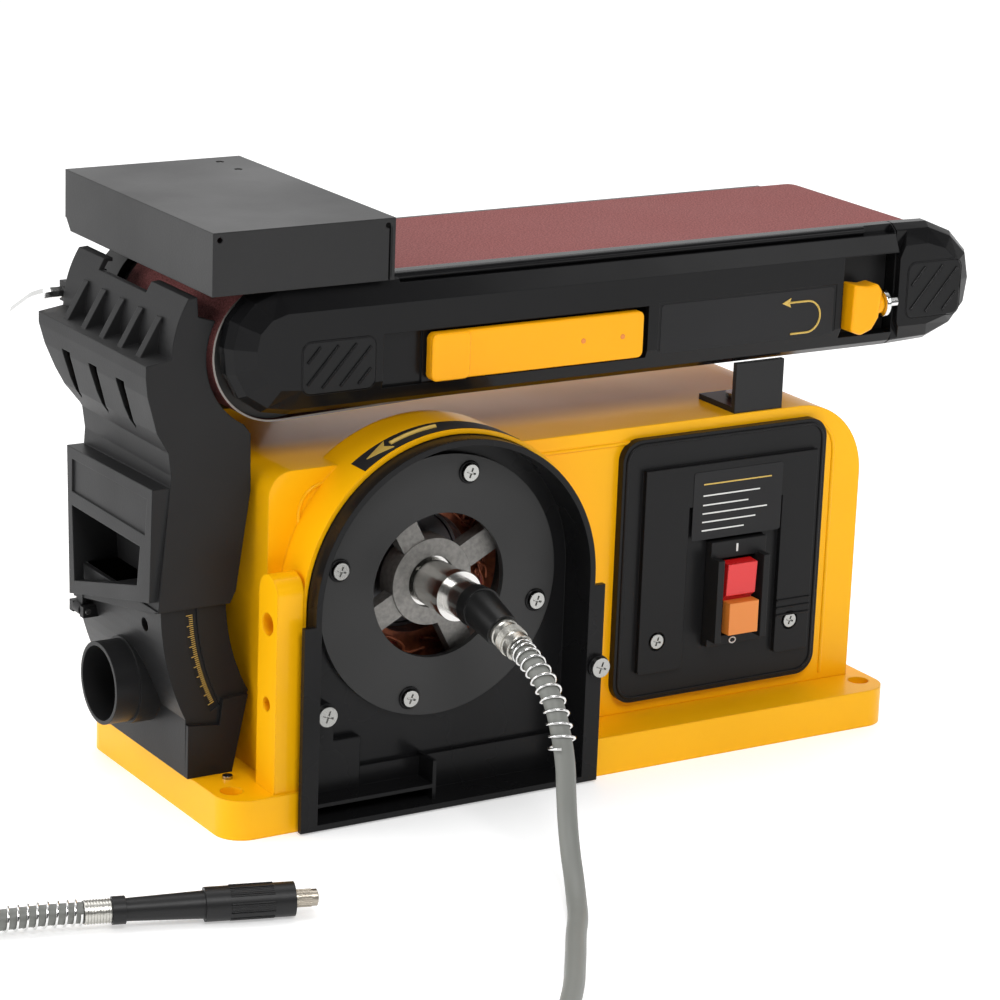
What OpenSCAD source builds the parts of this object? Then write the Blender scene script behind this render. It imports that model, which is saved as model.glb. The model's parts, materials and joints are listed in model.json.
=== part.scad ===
// Bench belt and disc sander with a tilting belt arm and a flexible shaft on the motor.
// X runs along the belt, Y runs to the back, Z is up. The origin is the middle of the base's bottom face.

/* [Base] */
// Length of the base flange
base_l = 392; // [380:1:410]
// Depth of the base flange
base_w = 156; // [150:1:170]
// Height of the base flange
flange_h = 20; // [16:1:24]
// Radius of the base flange's corners
base_corner = 14; // [6:1:18]
// Radius of the four bench holes
bench_hole_r = 5.5; // [4:0.5:6.5]

/* [Housing] */
// Height of the motor housing's flat top above the bench
housing_top = 172; // [170:1:174]
// Radius of the housing's upper right corner
housing_corner = 40; // [25:1:45]
// Wall thickness of the castings
cast_wall = 4; // [3:0.5:5]

/* [Motor] */
// Height of the motor axis
motor_z = 109; // [107:0.5:111]
// Radius of the motor shaft
motor_shaft_r = 6; // [5:0.5:7]
// Radius of the guard's arch
guard_r = 78; // [77:0.5:79]
// Radius of the window in the motor ring
window_r = 36.5; // [30:0.5:40]

/* [Belt] */
// Length of the sanding belt's loop
belt_loop = 914; // [910:1:918]
// Width of the sanding belt
belt_w = 100; // [96:1:100]
// Thickness of the sanding belt
belt_t = 1.2; // [0.8:0.1:1.4]
// Radius of the drive drum
drum_r = 33; // [32:0.5:33]
// Radius of the idler roller
idler_r = 27; // [25:0.5:28]

/* [Work stop] */
// Length of the work stop along the belt
stop_l = 96; // [90:1:100]
// Depth of the work stop across the belt
stop_w = 160; // [150:1:165]
// Height of the work stop
stop_h = 30; // [26:1:32]
// Thickness of the sheet steel
sheet = 2; // [1.5:0.1:2.5]

/* [Dust port] */
// Outer radius of the dust port
port_r = 20.5; // [18:0.5:22]
// Wall thickness of the plastic mouldings
plastic = 2.5; // [2:0.1:3]

/* [Flexible shaft] */
// Diameter of the flexible shaft's hose
hose_d = 9.5; // [8:0.5:10]
// Wire diameter of the hose springs
hose_wire = 1.3; // [1:0.1:1.6]

/* [Hidden] */

$fn = 64;
eps = 0.1;
gap = 0.4; // clearance between parts that move past each other

// Motor
motor_x = -76;
housing_x0 = -163;
housing_x1 = 186;
housing_y0 = -51;
housing_y1 = 62;
boss_y = -74.5;
boss_r = guard_r + 2.5;
guard_y0 = -84;
guard_back = -58;
ring_r = 66;
ring_screw_r = 57.5;
stator_r = 52;

// Belt
drum_x = -153;
drum_z = 227.5;
belt_y0 = -38;
belt_y1 = belt_y0 + belt_w;
top_z = drum_z + drum_r;
idler_z = top_z - idler_r;
axis_gap = (belt_loop - PI * (drum_r + idler_r)) / 2 - pow(drum_r - idler_r, 2) / 720;
idler_x = drum_x + sqrt(pow(axis_gap, 2) - pow(idler_z - drum_z, 2));
roller_y0 = belt_y0 + 2;
roller_y1 = belt_y1 - 2;

// Switch
plate_screw_x = [58, 141];

// Arm
cover_y0 = -55;
cover_y1 = -41;
arm_z0 = 198.5;
arm_z1 = 263;
plate_y = [-40.8, belt_y1 + 0.6]; // front faces of the frame's two side plates
plate_t = 2;
cap_x = 200;
knob_y = -54;
knob_z = 223;
lever_x = 36;
lever_y = -50.5;

// Hood and duct
hood_y0 = -39;
duct_y0 = -36.5;
duct_y1 = 60;
duct_r = 136;
slot_r = 119.5;
port_y = 10;
port_z = 57;
port_x = -222;
pin_x = -214.5;
pin_z = 84;
key_y = 86;
key_z = 234;
key_r = 2.88;

// Flexible shaft
nose_y = -98.4;
nose_tilt = 14;

// ---------------------------------------------------------------- helpers

// Cylinder along Y.
module ycyl(r, y0, y1, x, z) {
    translate([x, y0, z]) rotate([-90, 0, 0]) cylinder(r = r, h = y1 - y0);
}

// Cylinder along X.
module xcyl(r, x0, x1, y, z) {
    translate([x0, y, z]) rotate([0, 90, 0]) cylinder(r = r, h = x1 - x0);
}

// Ring along Y.
module yring(r, bore, y0, y1, x, z) {
    difference() {
        ycyl(r, y0, y1, x, z);
        ycyl(bore, y0 - 1, y1 + 1, x, z);
    }
}

// Box between two corners.
module box(a, b) {
    translate(a) cube(b - a);
}

// A flat outline in X and Z, pulled along Y.
module along_y(y0, y1) {
    translate([0, y1, 0]) rotate([90, 0, 0]) linear_extrude(y1 - y0) children();
}

// A flat outline in Y and Z, pulled along X.
module along_x(x0, x1) {
    translate([x0, 0, 0]) rotate([90, 0, 90]) linear_extrude(x1 - x0) children();
}

// Rectangle with round corners, from corner a to corner b.
module round_rect(a, b, r) {
    translate([a.x + r, a.y]) square([b.x - a.x - 2 * r, b.y - a.y]);
    translate([a.x, a.y + r]) square([b.x - a.x, b.y - a.y - 2 * r]);
    for (x = [a.x + r, b.x - r], y = [a.y + r, b.y - r])
        translate([x, y]) circle(r);
}

// Pan head screw whose head faces -Y; the head's underside is at y.
module pan_screw(x, y, z, head, len) {
    difference() {
        union() {
            ycyl(head, y - 2.4, y, x, z);
            ycyl(head / 2, y, y + len, x, z);
        }
        for (a = [0, 90])
            translate([x, y - 2.4, z]) rotate([0, a + 20, 0]) cube([head * 1.2, 2, 0.9], center = true);
    }
}

function arc(c, r, a0, a1, n) = [for (i = [0:n]) let (a = a0 + (a1 - a0) * i / n) c + r * [cos(a), sin(a)]];
function unit(v) = v / norm(v);

// Point on a Catmull-Rom curve through the list p at u, from 0 to len(p) - 1.
function pick(p, i) = p[max(0, min(len(p) - 1, i))];
function curve(p, u) = let (i = min(floor(u), len(p) - 2), t = u - i,
        a = pick(p, i - 1), b = p[i], c = pick(p, i + 1), d = pick(p, i + 2))
    0.5 * (2 * b + (c - a) * t + (2 * a - 5 * b + 4 * c - d) * t * t + (3 * b - a - 3 * c + d) * t * t * t);

// One ring of points round p, square to the direction d.
function ring_of(p, d, r, sides) = let (s = unit(cross(d, abs(d.z) > 0.9 ? [1, 0, 0] : [0, 0, 1])), t = cross(s, d))
    [for (k = [0:sides - 1]) p + r * (cos(360 * k / sides) * s + sin(360 * k / sides) * t)];

// Closed tube along a list of points.
module tube(line, r, sides) {
    n = len(line);
    rings = [for (i = [0:n - 1])
        each ring_of(line[i], unit(line[min(i + 1, n - 1)] - line[max(i - 1, 0)]), r, sides)];
    walls = [for (i = [0:n - 2], k = [0:sides - 1])
        let (a = i * sides + k, b = i * sides + (k + 1) % sides)
        each [[a, b, b + sides], [a, b + sides, a + sides]]];
    first = [for (k = [0:sides - 1]) sides - 1 - k];
    last = [for (k = [0:sides - 1]) (n - 1) * sides + k];
    polyhedron(points = rings, faces = concat([first], walls, [last]), convexity = 10);
}

// ---------------------------------------------------------------- base and housing

module base_hole_places() {
    for (x = [-186, 186], y = [-62, 62]) translate([x, y, 0]) children();
}

module base() color("gold") difference() {
    union() {
        difference() {
            linear_extrude(flange_h) round_rect([-base_l / 2, -base_w / 2], [base_l / 2, base_w / 2], base_corner);
            translate([0, 0, -eps]) linear_extrude(flange_h - cast_wall)
                round_rect([-base_l / 2 + 6, -base_w / 2 + 6], [base_l / 2 - 6, base_w / 2 - 6], 8);
        }
        base_hole_places() cylinder(r = 10, h = flange_h);
        // The walls beside the guard's recess
        for (x = [motor_x - guard_r - 4.5, motor_x + guard_r + 0.5])
            box([x, -base_w / 2 + 1, 0], [x + 4, -56, flange_h - 1]);
        box([motor_x - guard_r - 4.5, -57, 0], [motor_x + guard_r + 4.5, -53, flange_h - 1]);
        // The post that carries a disc table
        box([-170.6, -76, flange_h - 1], [-156.6, -57, 118]);
        along_x(-170.6, -156.6) translate([-66.5, 118]) circle(9.5);
    }
    base_hole_places() translate([0, 0, -1]) cylinder(r = bench_hole_r, h = flange_h + 2);
    box([motor_x - guard_r - 0.5, -base_w / 2 - 1, -1], [motor_x + guard_r + 0.5, -57, flange_h + 1]);
    xcyl(5.5, -171, -155, -66.5, 103);
    xcyl(3.5, -171, -155, -66.5, 63);
    translate([-180, -46, 15]) cylinder(r = 1.7, h = 10);
}

module housing_outline(inset) {
    x0 = housing_x0 + inset;
    x1 = housing_x1 - inset;
    z1 = housing_top - inset;
    r = housing_corner - inset;
    translate([x0, flange_h]) square([x1 - x0 - r, z1 - flange_h - 12]);
    translate([x0 + 12, flange_h]) square([x1 - x0 - r - 12, z1 - flange_h]);
    translate([x0 + 12, z1 - 12]) circle(12);
    translate([x0, flange_h]) square([x1 - x0, z1 - flange_h - r]);
    translate([x1 - r, z1 - r]) circle(r);
}

module guard_outline(r, floor_z) {
    translate([motor_x, motor_z]) circle(r);
    translate([motor_x - r, floor_z]) square([2 * r, motor_z - floor_z]);
}

module motor_housing() color("gold") difference() {
    union() {
        along_y(housing_y0, housing_y1) housing_outline(0);
        along_y(boss_y, -36) guard_outline(boss_r, flange_h);
        ycyl(8, -62, -48, guard_screw_list[1].x, guard_screw_list[1].z);
    }
    along_y(housing_y0 + cast_wall, housing_y1 - cast_wall) housing_outline(cast_wall);
    along_y(boss_y - 1, guard_back + 0.4) guard_outline(guard_r + 0.4, flange_h - 1);
    ycyl(stator_r + 4, guard_back - 1, -40, motor_x, motor_z);
    box([motor_x - 70, -47, flange_h - 1], [motor_x + 70, -35, 150]);
    // Windows for the switch, the pulley shaft and the cable gland
    box([87.8, housing_y0 - 1, 51.8], [122.2, housing_y0 + 5, 108.2]);
    ycyl(18, housing_y1 - 5, housing_y1 + 1, motor_x, motor_z);
    ycyl(7.55, housing_y1 - 5, housing_y1 + 1, 120, 45);
    box([housing_x0 + 4, housing_y0 + 4, flange_h - 1], [housing_x1 - 4, housing_y1 - 4, flange_h + 5]);
    // Seats and holes for the motor's front bell and for the screws
    for (a = [75:90:345])
        ycyl(6, -58, -42, motor_x + ring_screw_r * cos(a), motor_z + ring_screw_r * sin(a));
    for (p = guard_screw_list) ycyl(2.5, -64, -52, p.x, p.z);
    ycyl(6.3, boss_y - 1, -62.4, guard_screw_list[1].x, guard_screw_list[1].z);
    for (x = plate_screw_x) ycyl(1.9, -52, -44, x, 59);
    for (x = stanchion_bolt_x) ycyl(2.6, 57, 63, x, 150);
    ycyl(2, 57, 63, cover_screw_places[1].x, cover_screw_places[1].y);
    translate([118, -31, housing_top - 6]) cylinder(r = 2.5, h = 8);
}

// ---------------------------------------------------------------- guard and motor

// The guard's screws, each as X, the front of its post, and Z.
guard_screw_list = [[-145.5, -80, 57.6], [5, -86, 62]];

module disc_guard() color("#202022") difference() {
    union() {
        difference() {
            along_y(guard_y0, guard_back) guard_outline(guard_r, 1);
            along_y(guard_y0 - 1, guard_back - 3) guard_outline(guard_r - 3, 4);
        }
        // The two front flanges
        for (s = [-1, 1])
            box([motor_x + (s > 0 ? guard_r - 3 : -guard_r - 6), guard_y0, 1],
                [motor_x + (s > 0 ? guard_r + 6 : 3 - guard_r), guard_y0 + 3, 104]);
        // Raised lower panels and ribs
        box([motor_x - 74, -64, 4], [motor_x + 74, -60, 22]);
        box([motor_x - 74, -78, 10], [motor_x - 8, -62, 12]);
        box([motor_x - 8, -78, 4], [motor_x - 6, -62, 24]);
        ycyl(6, -80, -59, guard_screw_list[0].x, guard_screw_list[0].z);
        ycyl(5.8, -86, -63, guard_screw_list[1].x, guard_screw_list[1].z);
    }
    // The wall stays clear inside the guard
    along_y(guard_y0 - 1, guard_back - 3) intersection() {
        guard_outline(guard_r - 3, 4);
        translate([-10, 40]) square([30, 50]);
    }
    ycyl(window_r + 4, guard_back - 8, guard_back + 1, motor_x, motor_z);
    for (p = guard_screw_list) ycyl(2.6, -90, -57, p.x, p.z);
    for (a = [75:90:345])
        ycyl(2.3, -66, -57, motor_x + ring_screw_r * cos(a), motor_z + ring_screw_r * sin(a));
}

module guard_screws() color("silver") for (p = guard_screw_list)
    pan_screw(p.x, p.y, p.z, 5, -54 - p.y);

module motor_ring() color("#2a2a2c") difference() {
    ycyl(ring_r, -64.5, -61, motor_x, motor_z);
    ycyl(window_r, -66, -60, motor_x, motor_z);
    for (a = [75:90:345])
        ycyl(2.3, -66, -57, motor_x + ring_screw_r * cos(a), motor_z + ring_screw_r * sin(a));
}

module ring_screws() color("silver") for (a = [75:90:345])
    translate([motor_x + ring_screw_r * cos(a), 0, motor_z + ring_screw_r * sin(a)]) pan_screw(0, -64.5, 0, 4.2, 15);

module stator_core() color("dimgray") difference() {
    ycyl(stator_r, -30, 30, motor_x, motor_z);
    ycyl(29.6, -31, 31, motor_x, motor_z);
}

module windings() color("sienna") for (y = [[-40, -30], [30, 40]])
    yring(47, 31, y[0], y[1], motor_x, motor_z);

module front_end_bell() color("lightgray") {
    yring(22, 13.02, -58, -45, motor_x, motor_z);
    difference() {
        ycyl(55.5, -50, -30, motor_x, motor_z);
        ycyl(49, -51, -29, motor_x, motor_z);
    }
    for (a = [28:90:298])
        translate([motor_x, -54, motor_z]) rotate([0, -a, 0]) box([20, -3, -6.5], [51, 5, 6.5]);
    for (a = [75:90:345])
        difference() {
            ycyl(6, -57.9, -42, motor_x + ring_screw_r * cos(a), motor_z + ring_screw_r * sin(a));
            ycyl(2.2, -59, -44, motor_x + ring_screw_r * cos(a), motor_z + ring_screw_r * sin(a));
        }
}

module rear_end_bell() color("lightgray") difference() {
    ycyl(stator_r, 30, 47, motor_x, motor_z);
    ycyl(49, 29, 41, motor_x, motor_z);
    ycyl(13.02, 40, 48, motor_x, motor_z);
    for (a = [0:60:300])
        ycyl(9, 40, 48, motor_x + 33 * cos(a), motor_z + 33 * sin(a));
}

module motor_bearings() color("gray") for (y = [[-56, -47], [41, 47]])
    yring(13, motor_shaft_r + 0.03, y[0], y[1], motor_x, motor_z);

module motor_shaft() color("silver") ycyl(motor_shaft_r, -80, 95, motor_x, motor_z);

module rotor_core() color("slategray") yring(29, motor_shaft_r, -29, 29, motor_x, motor_z);

module cooling_fan() color("#303034") difference() {
    union() {
        yring(12, motor_shaft_r, 48.5, 56.5, motor_x, motor_z);
        yring(40, motor_shaft_r + 3, 48.5, 50, motor_x, motor_z);
        for (a = [0:45:315])
            translate([motor_x, 0, motor_z]) rotate([0, a, 0]) box([11, 49, -0.9], [39, 56.5, 0.9]);
    }
    ycyl(motor_shaft_r, 48, 57, motor_x, motor_z);
}

module motor_pulley() color("gray") yring(19, motor_shaft_r, 81, 95, motor_x, motor_z);

module shaft_adaptor() color("silver") difference() {
    union() {
        ycyl(11.5, -79, -59.5, motor_x, motor_z);
        ycyl(12.5, -84, -79, motor_x, motor_z);
        ycyl(9.6, -98, -84, motor_x, motor_z);
        ycyl(5, -104, -98, motor_x, motor_z);
    }
    ycyl(motor_shaft_r, -80, -59, motor_x, motor_z);
}

// Outline of a belt or a cover stretched round two circles.
module two_circles(c0, r0, c1, r1) {
    d = c1 - c0;
    a = atan2(d.y, d.x);
    b = acos((r0 - r1) / norm(d));
    polygon(concat(arc(c0, r0, a + b, a - b + 360, 40), arc(c1, r1, a - b, a + b, 40)));
}

drum_c = [drum_x, drum_z];
motor_c = [motor_x, motor_z];
pulley_gap = 0.35;

module drive_belt() color("#161616") difference() {
    along_y(82, 94) two_circles(drum_c, 25 + pulley_gap + 2, motor_c, 19 + pulley_gap + 2);
    along_y(81, 95) two_circles(drum_c, 25 + pulley_gap, motor_c, 19 + pulley_gap);
}

// Screw places of the drive cover: on the stanchion and on the housing.
cover_screw_places = [[-150, 168, 77.5], [-97, 92, 62]];

module drive_cover() color("#232325") difference() {
    union() {
        difference() {
            along_y(79, 100) two_circles(drum_c, 31, motor_c, 26);
            along_y(78, 98) two_circles(drum_c, 29, motor_c, 24);
        }
        for (p = cover_screw_places) ycyl(4, p.z, 100, p.x, p.y);
    }
    for (p = cover_screw_places) ycyl(2.1, 60, 101, p.x, p.y);
}

module cover_screws() color("silver") for (p = cover_screw_places)
    mirror([0, 1, 0]) pan_screw(p.x, -100, p.y, 4, 103 - p.z);

module capacitor() color("#3a3a3e") box([40, 30, 112], [84, housing_y1 - cast_wall, 142]);

module cable_gland() color("#1c1c1e") difference() {
    union() {
        ycyl(7.5, 57.5, 63, 120, 45);
        ycyl(10, housing_y1, 66, 120, 45);
        ycyl(7, 66, 84, 120, 45);
    }
    ycyl(3.6, 57, 85, 120, 45);
}

// ---------------------------------------------------------------- switch

module switch_plate() color("#1b1b1d") difference() {
    union() {
        along_y(-55.5, housing_y0) round_rect([34.5, 27], [160, 166], 11);
        along_y(-58.5, -55) round_rect([47, 42], [74, 150], 2);
        along_y(-58.5, -55) round_rect([132, 42], [153, 150], 2);
        box([47, -58.5, 128], [153, -55, 150]);
    }
    box([87.6, -60, 51.6], [122.4, -50, 108.4]);
    for (x = plate_screw_x) {
        ycyl(2.2, -60, -50, x, 59);
        ycyl(5, -60, -56.5, x, 59);
    }
}

module plate_screws() color("silver") for (x = plate_screw_x) pan_screw(x, -56.5, 59, 3.8, 12);

module switch_body() color("#151517") difference() {
    union() {
        box([88, -60, 52], [122, -24, 108]);
        // Cheeks either side of the paddle
        for (x = [[88, 91.8], [116.2, 120]]) box([x[0], -67, 56], [x[1], -59, 100]);
    }
    box([92, -68, 57], [116, -36, 99]);
}

paddle_y = -57;
paddle_z = 79;

module switch_paddle() color("crimson") difference() {
    union() {
        along_x(95, 113) polygon([[-66, 97], [-59, 97.5], [-50, 90], [-50, 68], [-59, 60], [-62, 60.5], [-62, 78], [-65, 80]]);
        xcyl(3, 92.2, 115.8, paddle_y, paddle_z);
    }
    box([98, -63, 59], [110, -53, 76]);
}

module safety_key() color("orange") {
    box([98.3, -64, 60.5], [109.7, -53.3, 75.7]);
    box([95, -69, 60], [113, -62.6, 77]);
}

// ---------------------------------------------------------------- rest bracket and stanchion

module rest_bracket() color("#202022") difference() {
    union() {
        box([104.5, -50, housing_top], [134, -47, arm_z0 - 0.3]);
        box([104.5, -49, housing_top], [134, -18, housing_top + 3]);
    }
    translate([118, -31, housing_top - 1]) cylinder(r = 2.6, h = 6);
}

module bracket_screw() color("silver") {
    translate([118, -31, housing_top + 3]) cylinder(r = 5, h = 2.6);
    translate([118, -31, housing_top - 5]) cylinder(r = 2.4, h = 9);
}

module pivot_stanchion() color("#2a2a2c") difference() {
    union() {
        along_y(69.5, 77.5) {
            polygon([[-172, flange_h], [-134, flange_h], [-137, drum_z - 14], [-169, drum_z - 14]]);
            translate(drum_c) circle(22);
        }
        box([-172, 63, flange_h], [-134, 77.5, flange_h + 8]);
        box([-162, housing_y1, 140], [-138, 70, 160]);
    }
    ycyl(16, 68, 79, drum_x, drum_z);
    for (x = stanchion_bolt_x) ycyl(2.6, 60, 71, x, 150);
    ycyl(2, 68, 79, cover_screw_places[0].x, cover_screw_places[0].y);
}

stanchion_bolt_x = [-154, -144];

module stanchion_bolts() color("silver") for (x = stanchion_bolt_x) {
    ycyl(4, 54.5, housing_y1 - cast_wall, x, 150);
    ycyl(2.5, housing_y1 - cast_wall, 70, x, 150);
}

// ---------------------------------------------------------------- dust duct and hood

module duct_outline(w) {
    polygon(concat([for (p = arc(motor_c, duct_r - w, 181.2, 206, 10)) [p.x, min(p.y, 105.5)]],
        [[-198 + w, flange_h + (w > 0 ? -eps : 0)], [-174 - w, flange_h + (w > 0 ? -eps : 0)]],
        [for (p = arc(motor_c, 101.5 + w, 209, 181.9, 10)) [p.x, min(p.y, 105.5 + w)]]));
}

module dust_duct() color("#1e1e20") difference() {
    union() {
        along_y(duct_y0, duct_y1) duct_outline(0);
        // Thicker foot with a stepped top
        along_y(hood_y0, duct_y0 + eps)
            polygon([[-198, flange_h], [-198, 47], [-181, 45], [-179.5, 58], [-166, 58.5], [-174, flange_h]]);
        xcyl(port_r, port_x, -209, port_y, port_z);
        xcyl(port_r + 1.2, -209.6, -196, port_y, port_z);
        // Hinge lugs for the hood
        for (y = [[38, 42], [50, 54]]) box([pin_x - 2.8, y[0], pin_z - 3], [-206, y[1], pin_z + 2.6]);
    }
    along_y(duct_y0 + plastic, duct_y1 - plastic) {
        duct_outline(plastic);
        translate([-209.5, 100]) square([31, 8]);
    }
    xcyl(port_r - 2, port_x - 1, -190, port_y, port_z);
    xcyl(3.5, -216, -200, -18, 94);
    // Groove for the angle marks
    along_y(duct_y0 - 1, duct_y0 + 1.2) intersection() {
        difference() {
            translate(motor_c) circle(slot_r + 3.5, $fn = 128);
            translate(motor_c) circle(slot_r - 2.5, $fn = 128);
        }
        polygon([motor_c, motor_c + [-160, -1], motor_c + [-160, -84]]);
    }
    ycyl(1.55, 37, 55, pin_x, pin_z);
}

module duct_screw() color("silver") {
    translate([-180, -46, flange_h]) cylinder(r = 2.6, h = 1.6);
    translate([-180, -46, flange_h - 3.5]) cylinder(r = 1.6, h = 4);
}

// The hood's side view: w is the wall that is taken off the closed sides.
hood_left = [[-214.5, 106], [-209.5, 160], [-208.5, 173], [-210, 184], [-216, 194], [-221, 212], [-222, 221]];

module hood_side(w) {
    polygon(concat(
        [for (p = hood_left) p + [w, (p.y < 110 ? -w : 0)]],
        [[-222 + w, 227 - w], [-209 + w, 229 - w]],
        arc(drum_c, 56 - w, 178, 148, 8),
        [[-196 + (w > 0 ? 9 : 0), drum_z + 30 - w]],
        w > 0 ? [[-150, 225], [-150, 106 - w]]
            : concat([[-195.5, 248]], arc(drum_c, 38, 152, 242, 16), [[-167, 189], [-166.5, 161], [-173.5, 112], [-176.5, 106]])));
}

// The hood's end view, wider at the top.
module hood_end(w) {
    polygon([[hood_y0 + w, 60], [54 - w, 60], [56 - w, 186], [70 - w, 201], [80.5 - w, 222], [80.5 - w, 270], [hood_y0 + w, 270]]);
}

module hood_shape(w) {
    intersection() {
        along_y(-60, 100) hood_side(w);
        along_x(-260, -120) hood_end(w);
    }
}

bezel = [[-38.5, 167], [56, 165], [52.5, 90], [-36.5, 111]];
pocket = [[-26, 136], [50, 136], [47, 98], [-23, 116]];
panel = [[-33, 161], [50, 159.5], [50, 143], [-31, 143]];

module dust_hood() color("#29292b") difference() {
    union() {
        difference() {
            hood_shape(0);
            hood_shape(plastic);
            // Trough between the two horns
            box([-230, 0, 252], [-190, 52, 262]);
            // Three tapered slots
            for (y = [-9, 21, 51])
                along_x(-226, -211) polygon([[y - 5, 214], [y + 4, 214], [y + 2, 200], [y - 3, 190], [y - 5, 192]]);
        }
        // Gussets on the ledge
        for (y = [-22, -2, 18, 38, 58])
            along_y(y - 2.5, y + 2.5) polygon([[-219, 226], [-207, 226], [-207, 246], [-209, 243]]);
        // Bezel round the pocket, and the pocket's own walls
        difference() {
            along_x(-218, -208) polygon(bezel);
            along_y(-60, 100)
                polygon([[-200, 80], [-212.9, 80], [-212.9, 107.5], [-214.2, 107.6], [-209.4, 160], [-208.4, 170], [-200, 172]]);
        }
        difference() {
            along_x(-213, -192) polygon([for (p = pocket) p + [p.x > 0 ? 2 : -2, p.y > 130 ? 2 : -2]]);
            along_x(-219, -194) polygon(pocket);
            box([-212.8, -60, 80], [-180, 60, 106.6]);
        }
        // Skirt down to the hinge, and its knuckle
        along_x(-215.2, -212.9) polygon([[-39, 107], [53.5, 107], [53.5, 88], [-36, 105]]);
        ycyl(3.4, 42.4, 49.6, pin_x, pin_z);
        box([pin_x - 1.2, 42.4, pin_z], [pin_x + 1.2, 49.6, 93]);
        // Clip for the hex key
        box([-206, 79, key_z - 5], [-192, 91, key_z + 5]);
    }
    along_x(-219, -205) polygon(pocket);
    along_x(-219, -217) polygon(panel);
    ycyl(1.55, 40, 52, pin_x, pin_z);
    xcyl(key_r + 0.15, -207, -191, key_y, key_z);
}

module hood_pin() color("silver") ycyl(1.5, 38, 54, pin_x, pin_z);

// The key's long leg lies along X, and its short leg points back and down.
module hex_key() color("silver") {
    bend = 7;
    translate([-213, key_y, key_z]) rotate([-28, 0, 0]) {
        rotate([0, 90, 0]) rotate([0, 0, 90]) cylinder(r = key_r, h = 25, $fn = 6);
        translate([0, bend, 0]) rotate([0, 0, 180]) rotate_extrude(angle = 90) translate([bend, 0]) circle(key_r, $fn = 6);
        translate([-bend, bend, 0]) rotate([-90, 0, 0]) cylinder(r = key_r, h = 24, $fn = 6);
    }
}

// ---------------------------------------------------------------- belt arm

module arm_outline(x1, w) {
    polygon([[-164 + w, arm_z1 - w], [-180 + w, 251], [-186 + w, 236], [-186 + w, 221], [-179 + w, 206],
        [-164 + w, arm_z0 + w], [x1, arm_z0 + w], [x1, arm_z1 - w]]);
}

module frame_plate(y) {
    difference() {
        along_y(y, y + plate_t) {
            translate([-140, 204]) square([360, 53]);
            translate(drum_c) circle(26);
        }
        ycyl(14, y - 1, y + 3, drum_x, drum_z);
        // The idler's axle slides in this slot
        along_y(y - 1, y + 3) translate([idler_x - 8, idler_z - 7]) square([40, 14]);
        for (x = arm_screw_x) ycyl(1.75, y - 1, y + 3, x, 211);
        for (x = stop_bolt_x) ycyl(2.5, y - 1, y + 3, x, 232);
    }
}

arm_screw_x = [-90, 20, 130];
stop_bolt_x = [-122, -110];

module arm_frame() color("#3c3c40") {
    frame_plate(plate_y[0]);
    frame_plate(plate_y[1]);
    difference() {
        box([-105, plate_y[0] + plate_t, 206], [140, plate_y[1], 257]);
        box([-106, plate_y[0] + plate_t - 1, 209], [141, plate_y[1] + 1, 254]);
    }
    // Wall that the tension spring pushes on
    box([106, plate_y[0] + plate_t, 208], [109, plate_y[1], 255]);
}

module pivot_sleeve() color("silver") difference() {
    union() {
        ycyl(15.95, plate_y[1] + plate_t + 4.4, 78, drum_x, drum_z);
        ycyl(20, plate_y[1] + plate_t, plate_y[1] + plate_t + 4.4, drum_x, drum_z);
    }
    ycyl(14, 60, 69, drum_x, drum_z);
    ycyl(10, 60, 80, drum_x, drum_z);
}

module front_cover() color("#161618") {
    front_cover_shell();
    // Posts on the frame's side plate, and the lever's pin
    for (x = [-120, 60, 150]) ycyl(5, -51, plate_y[0], x, 247);
    translate([lever_x, lever_y, 208.9]) cylinder(r = 2.45, h = 25.2);
}

module front_cover_shell() difference() {
    union() {
        along_y(-47, cover_y1) arm_outline(cap_x, 0);
        hull() {
            along_y(-47.2, -47) arm_outline(cap_x, 0);
            along_y(cover_y0, cover_y0 + 0.5) arm_outline(cap_x, 8);
        }
        // Rail along the top
        xcyl(2.2, -160, cap_x, -48, arm_z1 - 3);
    }
    along_y(-50, cover_y1 + 1) arm_outline(cap_x - 4, 3);
    // Pocket for the lever, with the finger recess at its left end
    box([-84, cover_y0 - 1, 206.5], [46, -52.4, 236]);
    box([-107, cover_y0 - 1, 207], [-84, -51, 236]);
    box([lever_x - 7, cover_y0 - 1, 209], [lever_x + 9, -44, 234]);
    // Shallow panel for the direction arrow
    box([52, cover_y0 - 1, 207.5], [162, cover_y0 + 0.6, 236]);
    // Notch round the tracking knob
    box([164, -60, 206.5], [cap_x + 1, -40, 241]);
}

module rear_cover() color("#5a5a5e") difference() {
    box([-128, plate_y[1] + plate_t, 203], [196, plate_y[1] + plate_t + 3, 261]);
    for (x = arm_screw_x) ycyl(1.75, 60, 70, x, 211);
    box([-132, plate_y[1] + plate_t - 1, 219], [-100, plate_y[1] + plate_t + 4, 262]);
}

module end_cap() color("#161618") {
    ycyl(4, -51, plate_y[0], 212, 250);
    end_cap_shell();
}

module end_cap_shell() difference() {
    union() {
        // Boss for the tracking knob
        xcyl(4.5, cap_x + 0.2, cap_x + 4, knob_y, knob_z);
        hull() {
            along_y(-47, cover_y1) polygon([[cap_x + 0.2, arm_z1], [224, arm_z1 - 1], [246, 249], [252, 232], [250, 216], [240, 204], [226, arm_z0 + 1], [cap_x + 0.2, arm_z0]]);
            along_y(cover_y0, cover_y0 + 0.5) polygon([[cap_x + 0.2, 255], [220, 254], [238, 244], [243, 231], [241, 219], [233, 210], [222, 207], [cap_x + 0.2, 207]]);
        }
    }
    along_y(-48, cover_y1 + 1) polygon([[cap_x + 4, 259], [223, 258], [242, 246], [248, 231], [246, 218], [237, 207.5], [224, 203], [cap_x + 4, 203]]);
    xcyl(2.65, cap_x - 1, cap_x + 6, knob_y, knob_z);
}

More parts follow.
